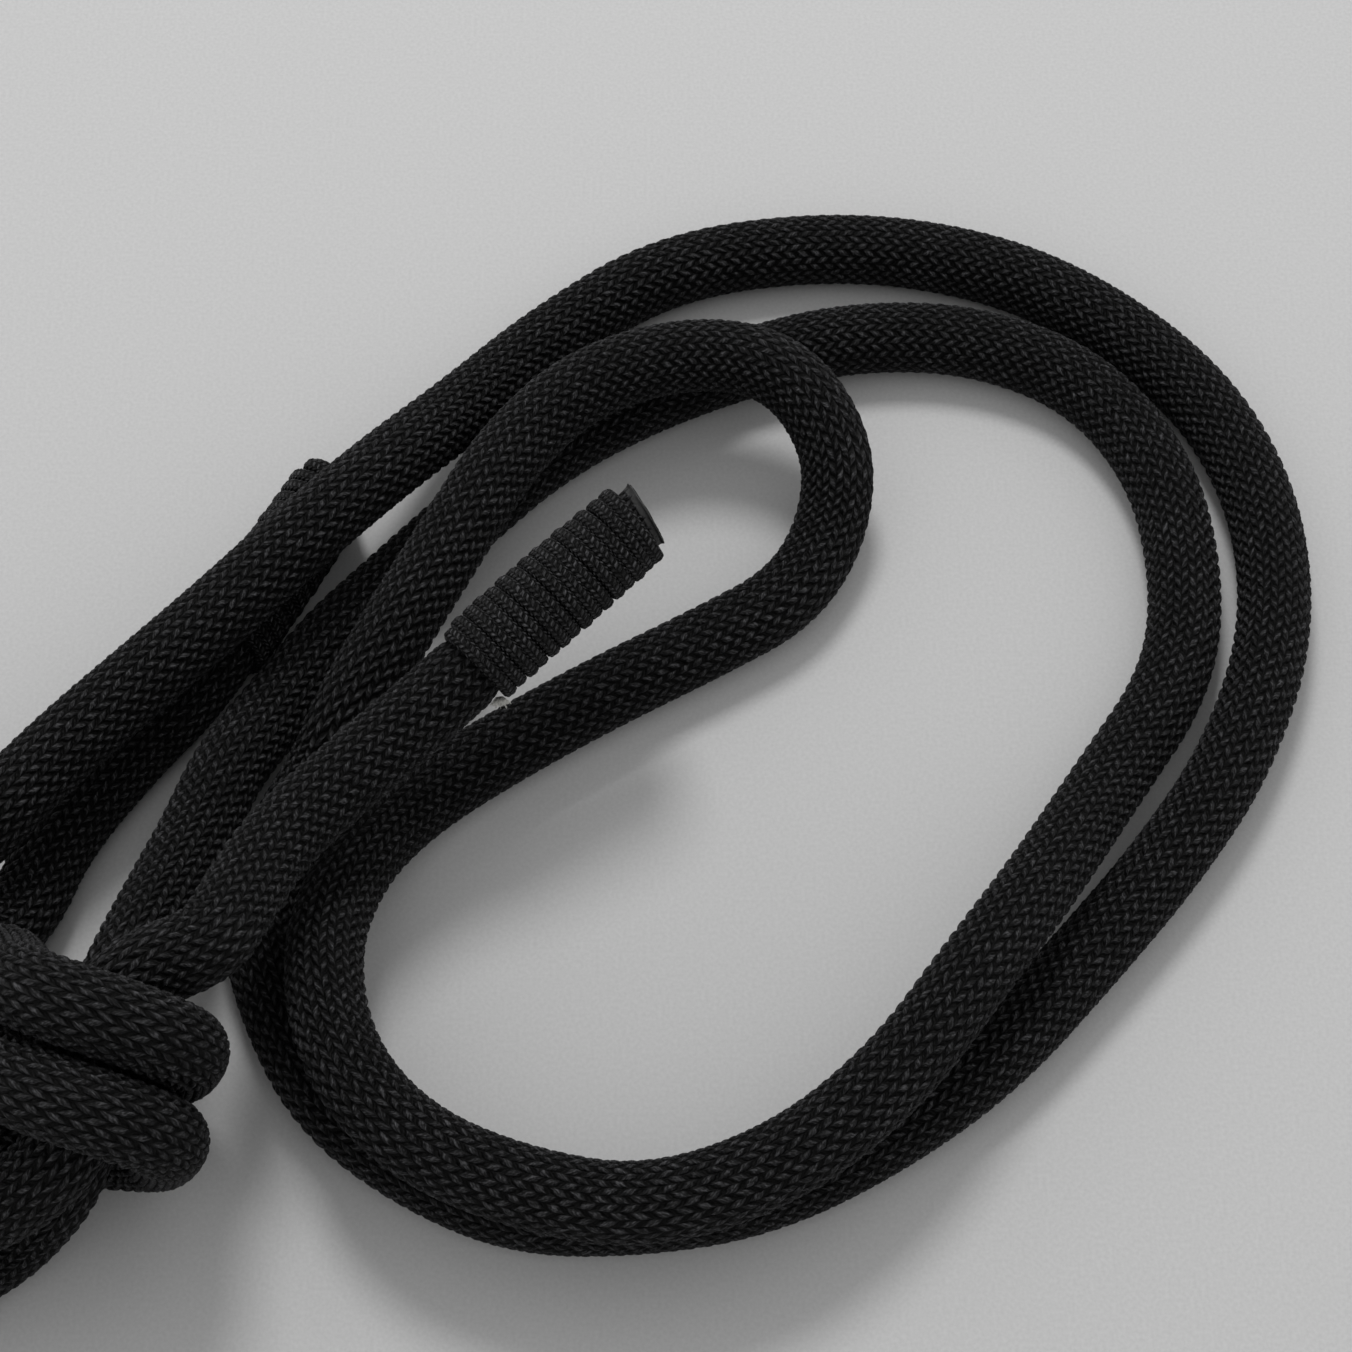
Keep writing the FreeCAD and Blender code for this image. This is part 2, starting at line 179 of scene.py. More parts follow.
class RopeSizes(bpy.types.PropertyGroup):
    """Sizes of the rope and its ends."""

    rope_diameter: bpy.props.FloatProperty(
        name="Rope diameter", description="Over the crests of the braid",
        default=10 * MM, min=1 * MM, unit="LENGTH")
    braid_pairs: bpy.props.IntProperty(
        name="Braid pairs", description="Pairs of stitch columns round the sheath", default=15, min=4)
    braid_period: bpy.props.FloatProperty(
        name="Braid period", description="Length of rope from one stitch to the next in a column",
        default=2.0 * MM, min=0.2 * MM, unit="LENGTH")
    braid_relief: bpy.props.FloatProperty(
        name="Braid relief", description="From a stitch's crest down to the gap beside it",
        default=0.55 * MM, min=0, unit="LENGTH")
    whipped_length: bpy.props.FloatProperty(
        name="Whipped length", description="Length of sheath that the thread binds",
        default=30 * MM, min=1 * MM, unit="LENGTH")
    whipped_radius: bpy.props.FloatProperty(
        name="Whipped radius", description="Radius of the sheath under the thread",
        default=4.4 * MM, min=1 * MM, unit="LENGTH")
    tip_radius: bpy.props.FloatProperty(
        name="Tip radius", description="Radius of the sheath at its very end",
        default=4.1 * MM, min=1 * MM, unit="LENGTH")
    cut_slant: bpy.props.FloatProperty(
        name="Cut slant", description="How far one side of an end's cut stands out past its middle",
        default=0.8 * MM, min=0, unit="LENGTH")
    seal_length: bpy.props.FloatProperty(
        name="Seal length", description="Thickness of the melted end", default=1.4 * MM,
        min=0.2 * MM, unit="LENGTH")
    thread_turns: bpy.props.IntProperty(
        name="Thread turns", description="Turns of each whipping", default=15, min=1)
    thread_pitch: bpy.props.FloatProperty(
        name="Thread pitch", description="From one turn to the next", default=1.85 * MM,
        min=0.2 * MM, unit="LENGTH")
    thread_first_turn: bpy.props.FloatProperty(
        name="First turn", description="From the rope's tip to the first turn", default=1.4 * MM,
        min=0, unit="LENGTH")
    thread_height: bpy.props.FloatProperty(
        name="Thread height", description="How far a turn stands up from the sheath",
        default=1.65 * MM, min=0.1 * MM, unit="LENGTH")
    thread_pairs: bpy.props.IntProperty(
        name="Thread braid pairs", description="Pairs of stitch columns round the thread", default=4, min=2)
    thread_period: bpy.props.FloatProperty(
        name="Thread braid period", description="Length of thread from one stitch to the next",
        default=0.8 * MM, min=0.1 * MM, unit="LENGTH")


class RopeColours(bpy.types.PropertyGroup):
    """Colours of the rope, its thread and the paper under it."""

    sheath: bpy.props.FloatVectorProperty(
        name="Sheath", description="Dyed nylon yarn on the crests", subtype="COLOR", size=4,
        default=linear("#1e1e1f"), min=0, max=1)
    # Painted shade: the gaps between stitches are painted this near-black, where shade falls between the
    # yarns.
    gap: bpy.props.FloatVectorProperty(
        name="Gaps", description="Yarn down between the stitches", subtype="COLOR", size=4,
        default=linear("#020202"), min=0, max=1)
    thread: bpy.props.FloatVectorProperty(
        name="Thread", description="Whipping thread", subtype="COLOR", size=4,
        default=linear("#232324"), min=0, max=1)
    frayed: bpy.props.FloatVectorProperty(
        name="Frayed fibres", description="Pale fibres where the thread's end has frayed", subtype="COLOR",
        size=4, default=linear("#d6d5d0"), min=0, max=1)
    melt: bpy.props.FloatVectorProperty(
        name="Melted end", description="Nylon that was melted and set", subtype="COLOR", size=4,
        default=linear("#161616"), min=0, max=1)
    core: bpy.props.FloatVectorProperty(
        name="Core", description="Undyed nylon strands", subtype="COLOR", size=4,
        default=linear("#dedad0"), min=0, max=1)
    paper: bpy.props.FloatVectorProperty(
        name="Paper", description="The plain sheet the rope lies on", subtype="COLOR", size=4,
        default=linear("#c4c4c4"), min=0, max=1)


# The rope's line


def wrap_points():
    """The corners of the oval coil, from the knot's lower end up to its upper end."""
    cut = WRAP_HALF_WIDTH * math.tan(math.pi / 8)
    straight = WRAP_HALF_HEIGHT - WRAP_HALF_WIDTH
    belly = WRAP_HALF_WIDTH + WRAP_BELLY
    ring = [
        (-cut, WRAP_HALF_HEIGHT), (cut, WRAP_HALF_HEIGHT), (WRAP_HALF_WIDTH, straight + cut),
        (belly, 0.0), (WRAP_HALF_WIDTH, -straight - cut), (cut, -WRAP_HALF_HEIGHT),
        (-cut, -WRAP_HALF_HEIGHT), (-WRAP_HALF_WIDTH, -straight - cut), (-belly, 0.0),
        (-WRAP_HALF_WIDTH, straight + cut),
    ]
    along = [0.0]
    for index in range(CORNERS_PER_TURN):
        along.append(along[-1] + math.dist(ring[index], ring[(index + 1) % CORNERS_PER_TURN]))
    points = []
    for number in range(WRAP_FIRST_CORNER, WRAP_FIRST_CORNER + WRAP_CORNERS):
        turn, index = divmod(number, CORNERS_PER_TURN)
        step = WRAP_PITCH * (turn + along[index] / along[-1])
        side, front = ring[index]
        points.append(WRAP_ORIGIN + WRAP_DOWN * step + WRAP_SIDE * side + WRAP_FRONT * front)
    return points[::-1]


def stretch_points():
    """Every stretch's name and corners, the knot's wraps among them, in the frame's own metres."""
    found = []
    for name, corners in ROUTE:
        if corners:
            found.append((name, np.array(corners) - CENTRE))
        else:
            wraps = np.array(wrap_points()) - CENTRE
            found.append(("knot_wrap_lower", wraps[:CORNERS_PER_TURN]))
            found.append(("knot_wrap_upper", wraps[CORNERS_PER_TURN:]))
    return found


def unit(rows):
    """Each row of an array at length one."""
    return rows / np.linalg.norm(rows, axis=-1, keepdims=True)


class Line:
    """The rope's smooth centre line, with a side direction that never twists."""

    resolution = 24

    def __init__(self, corners):
        data = bpy.data.curves.new("route", "CURVE")
        data.dimensions = "3D"
        data.resolution_u = self.resolution
        spline = data.splines.new("NURBS")
        spline.points.add(len(corners) - 1)
        for point, corner in zip(spline.points, corners):
            point.co = (*corner, 1.0)
        spline.order_u = 3
        spline.use_endpoint_u = True
        holder = bpy.data.objects.new("route", data)
        mesh = bpy.data.meshes.new_from_object(holder)
        flat = np.empty(3 * len(mesh.vertices))
        mesh.vertices.foreach_get("co", flat)
        bpy.data.objects.remove(holder)
        bpy.data.meshes.remove(mesh)
        bpy.data.curves.remove(data)
        self.points = flat.reshape(-1, 3)
        steps = np.linalg.norm(np.diff(self.points, axis=0), axis=1)
        self.along = np.r_[0, np.cumsum(steps)]
        self.ways = unit(np.gradient(self.points, self.along, axis=0))
        sides = [unit(np.cross(self.ways[0], (0, 0, 1)))]
        for way in self.ways[1:]:
            sides.append(unit(sides[-1] - way * (sides[-1] @ way)))
        self.sides = np.array(sides)

    @property
    def length(self):
        return self.along[-1]

    def nearest(self, point):
        """How far along the line comes nearest to a point."""
        return self.along[np.argmin(np.linalg.norm(self.points - point, axis=1))]

    def at(self, along):
        """Place, side, up and way at distances along the line."""
        def read(values):
            return np.stack([np.interp(along, self.along, values[:, i]) for i in range(3)], axis=-1)
        way = unit(read(self.ways))
        side = unit(read(self.sides))
        return read(self.points), side, np.cross(way, side), way


@functools.lru_cache(maxsize=1)
def rope_line():
    return Line(np.concatenate([points for _, points in stretch_points()]))


@functools.lru_cache(maxsize=1)
def stretch_spans():
    """Where each stretch starts and ends along the line: halfway between its corners and the next's."""
    line = rope_line()
    stretches = stretch_points()
    limits = [0.0]
    for (_, points), (_, following) in zip(stretches, stretches[1:]):
        limits.append(line.nearest((points[-1] + following[0]) / 2))
    limits.append(line.length)
    return {name: (limits[i], limits[i + 1]) for i, (name, _) in enumerate(stretches)}


# The braid

# A stitch runs under its neighbours at both ends, so it leans more on top than its yarn does.
STITCH_LEAN = 0.22
# How sharply a yarn dives at a stitch's ends, how far short of its column it does so,
# and how high it still stands where it is under.
STITCH_EDGE = 3.2
STITCH_INSET = 0.2
UNDER_HEIGHT = 0.12
# A stitch's cross-section: higher is narrower, with a wider gap beside it.
STITCH_NARROWNESS = 1.5
# The share of the braid's depth that is left where thread binds it.
BOUND_RELIEF_SHARE = 0.3
# The length over which the sheath swells from bound to free.
BINDING_FADE = 3 * MM
# The bound sheath thins to its tip's radius over this length.
TIP_TAPER = 16 * MM
# The cut's slant is lost this far from the tip.
SLANT_REACH = 9 * MM
# Columns of the two leans swap halfway between the crossings of their yarns.
COLUMN_SHIFT = 0.125
# Where the rope is pulled longer, and the share by which its stitches are lengthened at most.
PULLED_STRETCH = "bottom_strand"
PULLED_SHARE = 0.18
# Unevenness of the weave, in stitches or columns, and the length of rope that sets each wave.
LONG_DRIFT = 0.16
LONG_DRIFT_REACH = 41 * MM
SHORT_DRIFT = 0.1
SHORT_DRIFT_REACH = 13 * MM
COLUMN_LEAN = 0.05
COLUMN_LEAN_REACH = 29 * MM
COLUMN_SWAY = 0.02
COLUMN_SWAY_REACH = 7 * MM


def smooth(share):
    """A smooth step from 0 to 1."""
    share = np.clip(share, 0, 1)
    return share * share * (3 - 2 * share)


def braid_height(pairs, periods):
    """Height of a two-over, two-under braid, 1 on a stitch's crest, by columns and stitches."""
    angle = 2 * np.pi * (pairs - COLUMN_SHIFT)
    swing = periods + STITCH_LEAN * np.sin(angle)
    heights = []
    for sign in (-1, 1):
        phase = swing + sign * 2 * pairs
        off = np.abs(phase - np.round(phase))
        crest = (1 - (2 * off) ** 2) ** STITCH_NARROWNESS
        over = 0.5 - 0.5 * np.tanh(STITCH_EDGE * (sign * np.cos(angle) + STITCH_INSET))
        heights.append(crest * (UNDER_HEIGHT + (1 - UNDER_HEIGHT) * over))
    return np.maximum(*heights)


@functools.lru_cache(maxsize=1)
def stitch_count():
    """Stitches passed at each point of the line, fewer to the length where the rope is pulled longer."""
    line = rope_line()
    start, end = stretch_spans()[PULLED_STRETCH]
    middle, reach = (start + end) / 2, (end - start) / 2
    pulled = smooth(1 - np.abs(line.along - middle) / reach)
    local = sizes().braid_period * (1 + PULLED_SHARE * pulled)
    steps = np.diff(line.along) / ((local[1:] + local[:-1]) / 2)
    return np.r_[0, np.cumsum(steps)]


def stitch_places(around, along):
    """Column and stitch numbers, with the small unevenness that a woven tube has."""
    pairs = around * sizes().braid_pairs
    angle = 2 * np.pi * around
    drift = LONG_DRIFT * np.sin(along / LONG_DRIFT_REACH + angle)
    drift += SHORT_DRIFT * np.sin(along / SHORT_DRIFT_REACH - 2 * angle + 1.3)
    lean = COLUMN_LEAN * np.sin(along / COLUMN_LEAN_REACH + 0.7)
    sway = COLUMN_SWAY * np.sin(along / COLUMN_SWAY_REACH)
    periods = np.interp(along, rope_line().along, stitch_count()) + drift
    return pairs + lean * np.sin(angle) + sway, periods


def free_share(along):
    """1 where the sheath is free, 0 where thread binds it."""
    from_tip = np.minimum(along, rope_line().length - along)
    return smooth((from_tip - sizes().whipped_length + BINDING_FADE / 2) / BINDING_FADE)


def sheath_relief(along):
    """Depth of the braid, pressed nearly flat where thread binds it."""
    return sizes().braid_relief * (BOUND_RELIEF_SHARE + (1 - BOUND_RELIEF_SHARE) * free_share(along))


def end_slant(along, angle):
    """How far the slanting cut of the nearer end shifts a place round the rope along it."""
    length = rope_line().length
    from_tip = np.minimum(along, length - along)
    outward = np.where(along < length / 2, -1.0, 1.0)
    return outward * sizes().cut_slant * np.cos(angle) * smooth(1 - from_tip / SLANT_REACH)


def sheath_radius(along):
    """Radius over the crests: the rope's own, drawn in where thread binds it and at its tips."""
    size = sizes()
    from_tip = np.minimum(along, rope_line().length - along)
    radius = size.whipped_radius + (size.rope_diameter / 2 - size.whipped_radius) * free_share(along)
    taper = smooth(1 - from_tip / TIP_TAPER)
    return radius - (size.whipped_radius - size.tip_radius) * taper


# Mesh helpers

# A tube's two long edges are found by their share of the way round, and joined where they meet.
SEAM_SHARE = 1e-4
SEAM_REACH = 1e-3 * MM


def sizes():
    return bpy.context.scene.rope_sizes


def colours():
    return bpy.context.scene.rope_colours


def finish_piece(name, bm_or_mesh, material, slot, *nodes):
    """Link a mesh as a piece of the rope that rides on its body and stands for its solids."""
    mesh = bm_or_mesh
    if isinstance(bm_or_mesh, bmesh.types.BMesh):
        mesh = bpy.data.meshes.new(name)
        bm_or_mesh.to_mesh(mesh)
        bm_or_mesh.free()
    mesh.name = name
    mesh.materials.append(material)
    mesh.polygons.foreach_set("use_smooth", [True] * len(mesh.polygons))
    piece = bpy.data.objects.new(name, mesh)
    bpy.context.scene.collection.objects.link(piece)
    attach(piece, BODY)
    if nodes:
        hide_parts(*nodes)
    return piece


def wrapped_grid(name, columns, rings, place):
    """A tube made of one grid: place gives each corner's position and pattern by its shares."""
    bm = bmesh.new()
    bm.loops.layers.uv.new("braid")
    bmesh.ops.create_grid(bm, x_segments=columns, y_segments=rings, size=0.5, calc_uvs=True)
    mesh = bpy.data.meshes.new(name)
    bm.to_mesh(mesh)
    bm.free()
    flat = np.empty(3 * len(mesh.vertices))
    mesh.vertices.foreach_get("co", flat)
    shares = flat.reshape(-1, 3)[:, :2] + 0.5
    positions, pattern = place(shares[:, 0], shares[:, 1])
    mesh.vertices.foreach_set("co", positions.ravel())
    corner = np.empty(len(mesh.loops), dtype=np.int32)
    mesh.loops.foreach_get("vertex_index", corner)
    mesh.uv_layers["braid"].data.foreach_set("uv", pattern[corner].ravel())
    bm = bmesh.new()
    bm.from_mesh(mesh)
    bm.verts.ensure_lookup_table()
    edge = np.flatnonzero((shares[:, 0] < SEAM_SHARE) | (shares[:, 0] > 1 - SEAM_SHARE))
    bmesh.ops.remove_doubles(bm, verts=[bm.verts[i] for i in edge], dist=SEAM_REACH)
    bm.to_mesh(mesh)
    bm.free()
    return mesh


# The pieces

SHEATH_COLUMNS = 120
SHEATH_SPACING = 0.3 * MM
FLOOR_CLEARANCE = 0.02 * MM


def sheath_mesh(name, start, end):
    """A woven length of sheath, its stitches raised on it."""
    line = rope_line()

    def place(around, share):
        along = start + (end - start) * share
        middle, side, up, way = line.at(along)
        pairs, periods = stitch_places(around, along)
        height = braid_height(pairs, periods)
        radius = sheath_radius(along) - sheath_relief(along) * (1 - height)
        angle = (2 * np.pi * around)[:, None]
        spot = middle + (side * np.cos(angle) + up * np.sin(angle)) * radius[:, None]
        spot += way * end_slant(along[:, None], angle)
        spot[:, 2] = np.maximum(spot[:, 2], FLOOR_CLEARANCE)
        return spot, np.stack([pairs, periods], axis=1)

    return wrapped_grid(name, SHEATH_COLUMNS, int((end - start) / SHEATH_SPACING), place)


THREAD_COLUMNS = 24
THREAD_SPACING = 0.17 * MM
THREAD_RELIEF = 0.16 * MM
THREAD_FLATNESS = 0.76
# The thread's two ends dive under the sheath: over this share of a turn, by this share of its height.
THREAD_TUCK_TURNS = 0.16
THREAD_TUCK_DEPTH = 0.9
TURN_OVERLAP = 1.09
# No two turns were pulled alike: how far they stray along the rope and stand off it.
TURN_STRAY = 0.09 * MM
TURN_LIFT = 0.14 * MM
# The turns next to each end of the whipping lie evenly.
EVEN_TURNS = 2
# The thread's own direction is read from this share of a turn ahead.
TURN_AHEAD = 1e-3


def thread_mesh(name, from_start):
    """One whipping: a fine braided thread wound round the rope's end, tucked under at both ends."""
    line = rope_line()
    size = sizes()
    turns = size.thread_turns

    def path(turn):
        inner = smooth(turn / EVEN_TURNS) * smooth((turns - turn) / EVEN_TURNS)
        stray = TURN_STRAY * inner * (np.sin(2.3 * turn + 0.6) + 0.6 * np.sin(7.1 * turn))
        from_tip = size.thread_first_turn + size.thread_pitch * turn + stray
        along = from_tip if from_start else line.length - from_tip
        middle, side, up, way = line.at(along)
        angle = (2 * np.pi * turn)[:, None]
        out = side * np.cos(angle) + up * np.sin(angle)
        tuck = smooth(1 - turn / THREAD_TUCK_TURNS) + smooth(1 - (turns - turn) / THREAD_TUCK_TURNS)
        lift = TURN_LIFT * inner * np.sin(4.3 * turn) * np.sin(1.7 * turn + 0.4)
        radius = sheath_radius(along) + size.thread_height * (0.5 - THREAD_TUCK_DEPTH * tuck) + lift
        return middle + out * radius[:, None] + way * end_slant(along[:, None], angle), out

    turn_length = 2 * math.pi * (size.whipped_radius + size.thread_height / 2)
    rings = int(turns * turn_length / THREAD_SPACING)

    def place(around, share):
        turn = share * turns
        middle, out = path(turn)
        ahead = path(turn + TURN_AHEAD)[0]
        run = unit(ahead - middle)
        across = np.cross(run, out)
        pairs = around * size.thread_pairs
        periods = share * turns * turn_length / size.thread_period
        relief = THREAD_RELIEF * (1 - braid_height(pairs, periods))
        angle = 2 * np.pi * around
        half_width = size.thread_pitch * TURN_OVERLAP / 2 - relief
        half_height = size.thread_height / 2 - relief
        wide = np.sign(np.cos(angle)) * np.abs(np.cos(angle)) ** THREAD_FLATNESS * half_width
        high = np.sign(np.sin(angle)) * np.abs(np.sin(angle)) ** THREAD_FLATNESS * half_height
        spot = middle - across * wide[:, None] + out * high[:, None]
        spot[:, 2] = np.maximum(spot[:, 2], FLOOR_CLEARANCE)
        return spot, np.stack([pairs, periods], axis=1)

    return wrapped_grid(name, THREAD_COLUMNS, rings, place)


SEAL_SUBDIVISIONS = 5
SEAL_FLARE = 0.2
SEAL_SQUARENESS = 0.35
SEAL_LUMP = 0.16 * MM
SEAL_LUMP_SCALE = 1.7 * MM


def seal_mesh(name, from_start):
    """The melted end: a disc pressed flat while soft, so that its thin rim spreads past the sheath."""
    line = rope_line()
    size = sizes()
    half = size.seal_length / 2
    along = half if from_start else line.length - half
    middle, side, up, way = line.at(np.array(along))
    bm = bmesh.new()
    bmesh.ops.create_icosphere(bm, subdivisions=SEAL_SUBDIVISIONS, radius=1.0)
    outward = -way if from_start else way
    turned = Matrix((side, up, outward)).transposed()
    for vert in bm.verts:
        ball = vert.co.copy()
        flat = math.hypot(ball.x, ball.y)
        round_share = flat ** SEAL_SQUARENESS if flat > 0 else 0.0
        level = math.copysign(abs(ball.z) ** SEAL_SQUARENESS, ball.z)
        reach = size.tip_radius * round_share * (1 + SEAL_FLARE * max(level, 0) ** 2)
        direction = Vector((ball.x, ball.y, 0)) / flat if flat > 0 else Vector()
        depth = level * half
        place = direction * reach + Vector((0, 0, depth))
        lump = noise.fractal(place / SEAL_LUMP_SCALE, 1.0, 2.0, 3)
        place += ball * lump * SEAL_LUMP
        place.z += size.cut_slant * place.x / size.tip_radius
        vert.co = Vector(middle) + turned @ place
        vert.co.z = max(vert.co.z, FLOOR_CLEARANCE)
    bmesh.ops.recalc_face_normals(bm, faces=bm.faces)
    return bm


FRAY_FIBRES = 70
FRAY_FROM_TIP = 29.7 * MM
FRAY_ANGLE = math.radians(158)
FRAY_RADIUS = 5.1 * MM
FRAY_FIBRE_RADIUS = 0.08 * MM
FRAY_LENGTHS = (1.2 * MM, 2.6 * MM)
FRAY_SPREAD = 1.1
FRAY_ROOT_SPREAD = 0.35 * MM
# How much the tuft leans towards the free rope, and how quickly its fibres' lengths change across it.
FRAY_LEAN = 0.7
FRAY_UNEVENNESS = 7
GOLDEN_TURN = math.pi * (3 - math.sqrt(5))


def fray_mesh(from_start):
    """The frayed end of the thread: a small tuft of fine fibres beside the last turn."""
    line = rope_line()
    along = FRAY_FROM_TIP if from_start else line.length - FRAY_FROM_TIP
    middle, side, up, way = line.at(np.array(along))
    out = Vector(side * math.cos(FRAY_ANGLE) + up * math.sin(FRAY_ANGLE))
    inward = Vector(way if from_start else -way)
    root = Vector(middle) + out * FRAY_RADIUS
    lean = (out + inward * FRAY_LEAN).normalized()
    first = lean.orthogonal().normalized()
    second = lean.cross(first)
    bm = bmesh.new()
    for number in range(FRAY_FIBRES):
        share = (number + 0.5) / FRAY_FIBRES
        reach = FRAY_SPREAD * math.sqrt(share)
        angle = GOLDEN_TURN * number
        fan = first * math.cos(angle) + second * math.sin(angle)
        direction = (lean + fan * reach).normalized()
        longer = noise.noise(direction * FRAY_UNEVENNESS) ** 2
        length = FRAY_LENGTHS[0] + (FRAY_LENGTHS[1] - FRAY_LENGTHS[0]) * longer
        start = root + fan * reach * FRAY_ROOT_SPREAD
        turned = direction.to_track_quat("Z", "Y").to_matrix().to_4x4()
        bmesh.ops.create_cone(
            bm, cap_ends=True, segments=5, radius1=FRAY_FIBRE_RADIUS, radius2=FRAY_FIBRE_RADIUS / 2,
            depth=length, matrix=Matrix.Translation(start + direction * length / 2) @ turned)
    return bm


CORE_COLUMNS = 10
CORE_SPACING = 1.8 * MM
CORE_RADIUS = 1.2 * MM
CORE_RING_RADIUS = 2.7 * MM
CORE_LAY = 9 * MM
CORE_RING_STRANDS = 6


def core_mesh(name, number):
    """One core strand, beside the line all the way like the solid it stands for."""
    line = rope_line()
    size = sizes()
    start, end = size.seal_length, line.length - size.seal_length
    place_angle = 2 * math.pi * number / CORE_RING_STRANDS
    offset = CORE_RING_RADIUS if number else 0.0

    def place(around, share):
        along = start + (end - start) * share
        middle, side, up, _ = line.at(along)
        out = side * math.cos(place_angle) + up * math.sin(place_angle)
        angle = (2 * np.pi * around)[:, None]
        spot = middle + out * offset + (side * np.cos(angle) + up * np.sin(angle)) * CORE_RADIUS
        return spot, np.stack([around, along / CORE_LAY], axis=1)

    return wrapped_grid(name, CORE_COLUMNS, int((end - start) / CORE_SPACING), place)


# Materials

# Inputs 1 to 4 of a range node are the least and most read, then the least and most given.

# Nylon's typical value.
NYLON_IOR = 1.53


def add(tree, kind, inputs=None, output=0, **settings):
    """Add a node with its settings, values and links; returns one of its outputs."""
    node = tree.nodes.new(kind)
    for name, value in settings.items():
        setattr(node, name, value)
    for key, value in (inputs or {}).items():
        if isinstance(value, bpy.types.NodeSocket):
            tree.links.new(value, node.inputs[key])
        else:
            node.inputs[key].default_value = value
    return node.outputs[output] if output is not None else node


def new_material(name):
    """A material with no nodes yet, and its node tree."""
    material = bpy.data.materials.new(name)
    material.use_nodes = True
    material.node_tree.nodes.clear()
    return material, material.node_tree


def math_node(tree, operation, *values, clamp=False):
    return add(tree, "ShaderNodeMath", dict(enumerate(values)), operation=operation, use_clamp=clamp)


def braid_pattern(tree):
    """The braid's height, its yarn's own across and along, and a number for each stitch, from the UV map."""
    spot = add(tree, "ShaderNodeUVMap", uv_map="braid")
    pairs = add(tree, "ShaderNodeSeparateXYZ", {0: spot}, output=0)
    periods = pairs.node.outputs[1]
    shifted = math_node(tree, "SUBTRACT", pairs, COLUMN_SHIFT)
    angle = math_node(tree, "MULTIPLY", shifted, 2 * math.pi)
    column = math_node(tree, "COSINE", angle)
    swing = math_node(tree, "MULTIPLY_ADD", math_node(tree, "SINE", angle), STITCH_LEAN, periods)
    heights, phases = [], []
    for sign in (-1, 1):
        phase = math_node(tree, "MULTIPLY_ADD", pairs, sign * 2.0, swing)
        off = math_node(tree, "PINGPONG", phase, 0.5)
        square = math_node(tree, "POWER", math_node(tree, "MULTIPLY", off, 2.0), 2.0)
        round_crest = math_node(tree, "SUBTRACT", 1.0, square, clamp=True)
        crest = math_node(tree, "POWER", round_crest, STITCH_NARROWNESS)
        edge = math_node(tree, "MULTIPLY_ADD", column, sign * STITCH_EDGE, STITCH_EDGE * STITCH_INSET)
        over_share = (1 - UNDER_HEIGHT) / 2
        level = math_node(tree, "MULTIPLY_ADD", math_node(tree, "TANH", edge), -over_share,
                          UNDER_HEIGHT + over_share)
        heights.append(math_node(tree, "MULTIPLY", crest, level))
        phases.append(phase)
    height = math_node(tree, "MAXIMUM", *heights)
    first_over = math_node(tree, "GREATER_THAN", *heights)
    across = add(tree, "ShaderNodeMix", {0: first_over, 2: phases[1], 3: phases[0]})
    stitch = add(tree, "ShaderNodeCombineXYZ", {
        0: math_node(tree, "ROUND", across), 1: math_node(tree, "FLOOR", pairs), 2: first_over})
    return height, across, pairs, first_over, stitch


